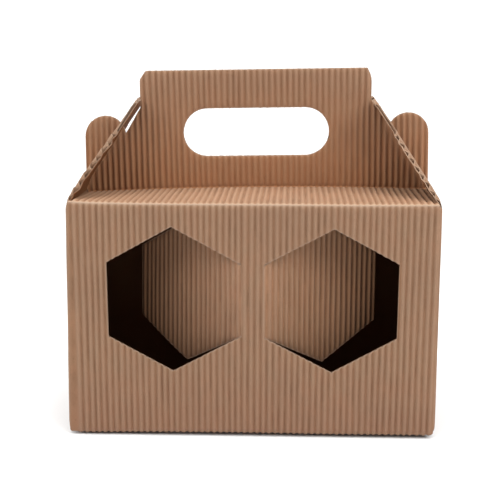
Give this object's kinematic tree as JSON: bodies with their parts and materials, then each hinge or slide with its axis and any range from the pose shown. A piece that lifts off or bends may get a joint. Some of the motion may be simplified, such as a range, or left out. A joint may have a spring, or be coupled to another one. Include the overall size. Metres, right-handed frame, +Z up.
{
  "type": "corrugated gable carrier carton",
  "caption": "Kraft open-flute corrugated gable carton with a double upright carrying handle, hook-over end flaps and hexagonal pushed-in display windows.",
  "frame": {"origin": "centre of the resting face, on the floor", "axes": "+Z up, -Y towards the windowed front wall, +X to the right seen from the front"},
  "size_m": [0.2, 0.108, 0.197],
  "materials": {
    "kraft_board": "matt uncoated kraft paper, fluted on the outer side"
  },
  "bodies": {
    "carton": {"folded_carton": "kraft_board"},
    "end_flap_left": {"left_end_flap": "kraft_board"},
    "end_flap_right": {"right_end_flap": "kraft_board"},
    "window_flap_left": {"left_window_flap": "kraft_board"},
    "window_flap_right": {"right_window_flap": "kraft_board"}
  },
  "joints": [
    {"name": "left_end_fold", "type": "hinge", "parent": "carton", "child": "end_flap_left", "pos_m": [-0.0992, 0, 0.1272], "axis": [0, -1, 0], "range_deg": [0, 120]},
    {"name": "right_end_fold", "type": "hinge", "parent": "carton", "child": "end_flap_right", "pos_m": [0.0992, 0, 0.1272], "axis": [0, 1, 0], "range_deg": [0, 120]},
    {"name": "left_window_fold", "type": "hinge", "parent": "carton", "child": "window_flap_left", "pos_m": [-0.0072, -0.0532, 0.0753], "axis": [0, 0, -1], "range_deg": [-35, 55]},
    {"name": "right_window_fold", "type": "hinge", "parent": "carton", "child": "window_flap_right", "pos_m": [0.0072, -0.0532, 0.0753], "axis": [0, 0, 1], "range_deg": [-29, 61]}
  ]
}
